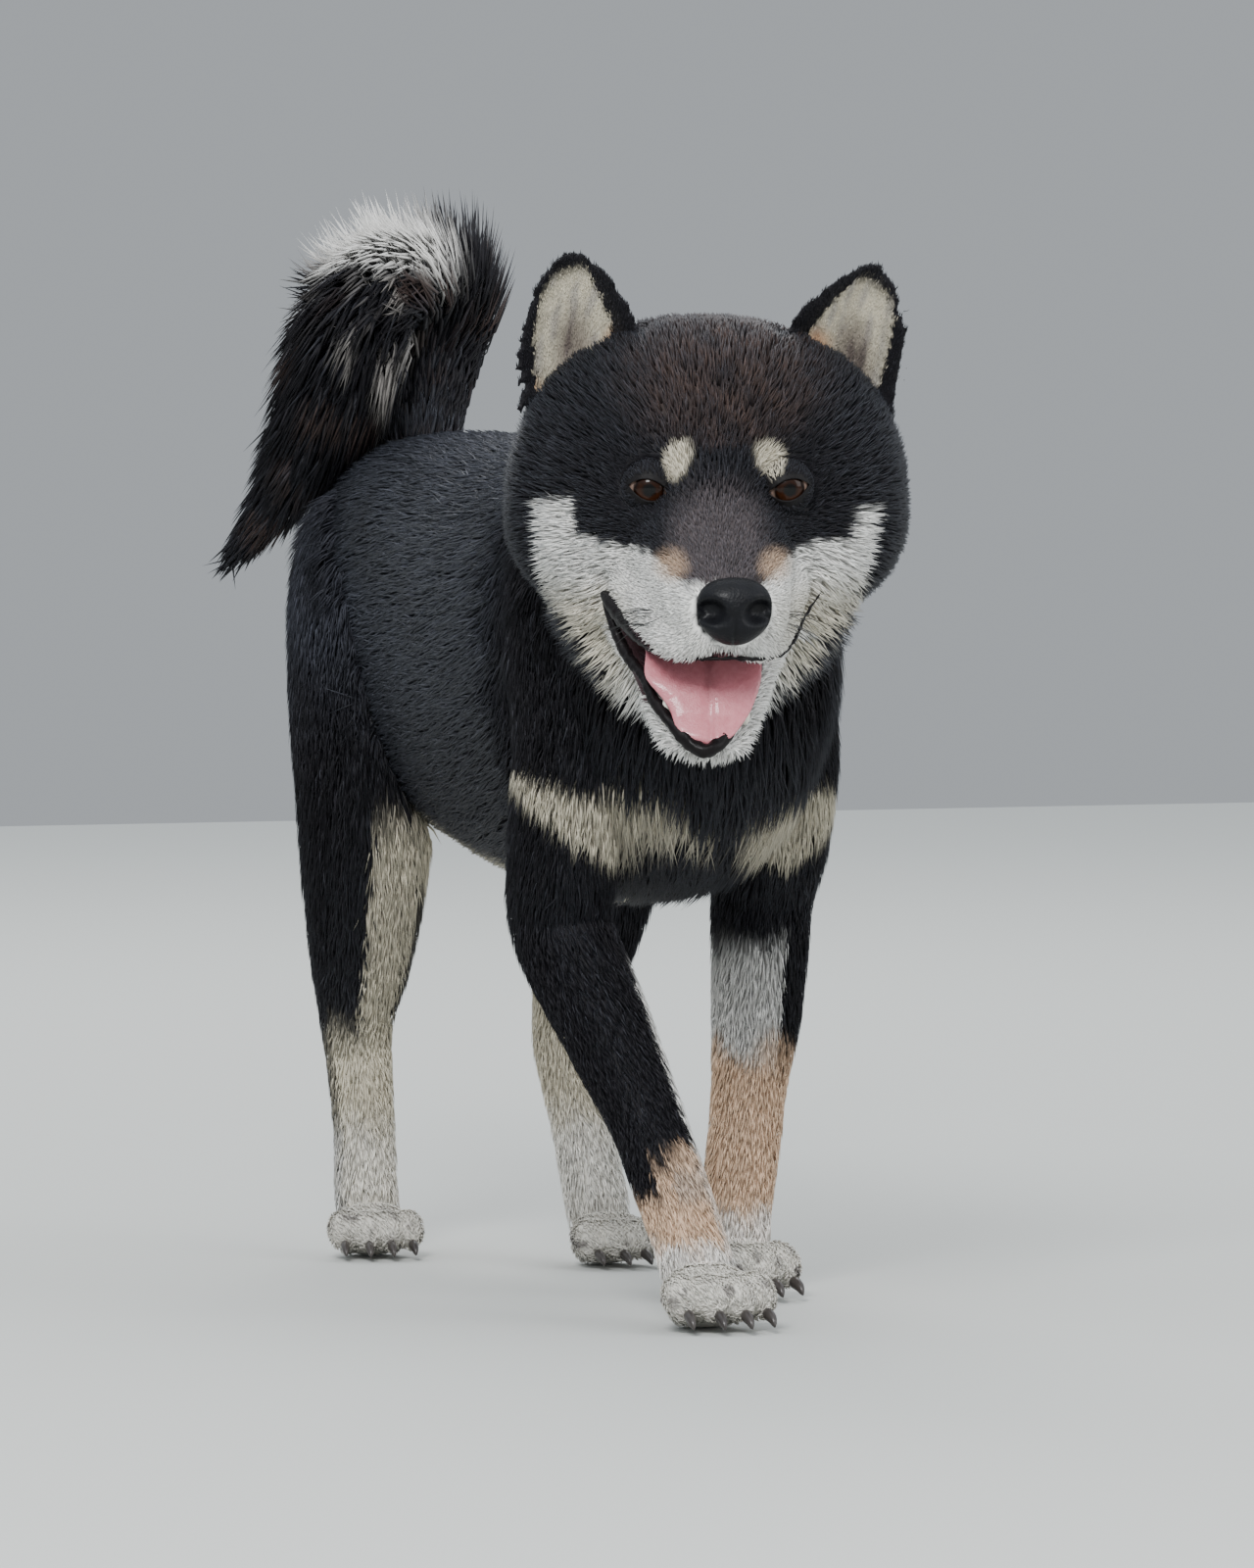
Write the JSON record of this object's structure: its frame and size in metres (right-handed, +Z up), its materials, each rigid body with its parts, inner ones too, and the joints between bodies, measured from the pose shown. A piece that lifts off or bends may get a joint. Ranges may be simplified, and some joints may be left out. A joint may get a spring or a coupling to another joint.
{
  "type": "shiba inu",
  "caption": "Walking shiba inu dog, life-size still model standing on its paws, with an open mouth and the tail curled over its rump.",
  "frame": {"origin": "on the floor, in the middle of the dog's bounding box", "axes": "+Z up, the dog walks towards -Y, its right side is at -X"},
  "size_m": [0.1974, 0.6572, 0.487],
  "materials": {
    "black_fur": "dense short black fur with a blue-grey sheen",
    "tan_fur": "short warm tan fur",
    "cream_fur": "short cream-white fur",
    "nose_leather": "moist pebbled black leather",
    "eye": "dark brown, clear and wet",
    "tongue": "moist pink with fine papillae"
  },
  "bodies": {
    "root": {"head": "black_fur", "lower_jaw": "cream_fur", "tongue": "tongue", "nose": "nose_leather", "eye_right": "eye", "eye_left": "eye", "ear_right": "black_fur", "ear_left": "black_fur", "neck": "black_fur", "torso": "black_fur", "shoulder_right": "black_fur", "forearm_right": "tan_fur", "forepaw_right": "cream_fur", "shoulder_left": "black_fur", "forearm_left": "tan_fur", "forepaw_left": "cream_fur", "thigh_right": "black_fur", "shank_right": "tan_fur", "hindpaw_right": "cream_fur", "thigh_left": "black_fur", "shank_left": "tan_fur", "hindpaw_left": "cream_fur", "tail_root": "black_fur", "tail_brush": "black_fur"}
  },
  "joints": []
}
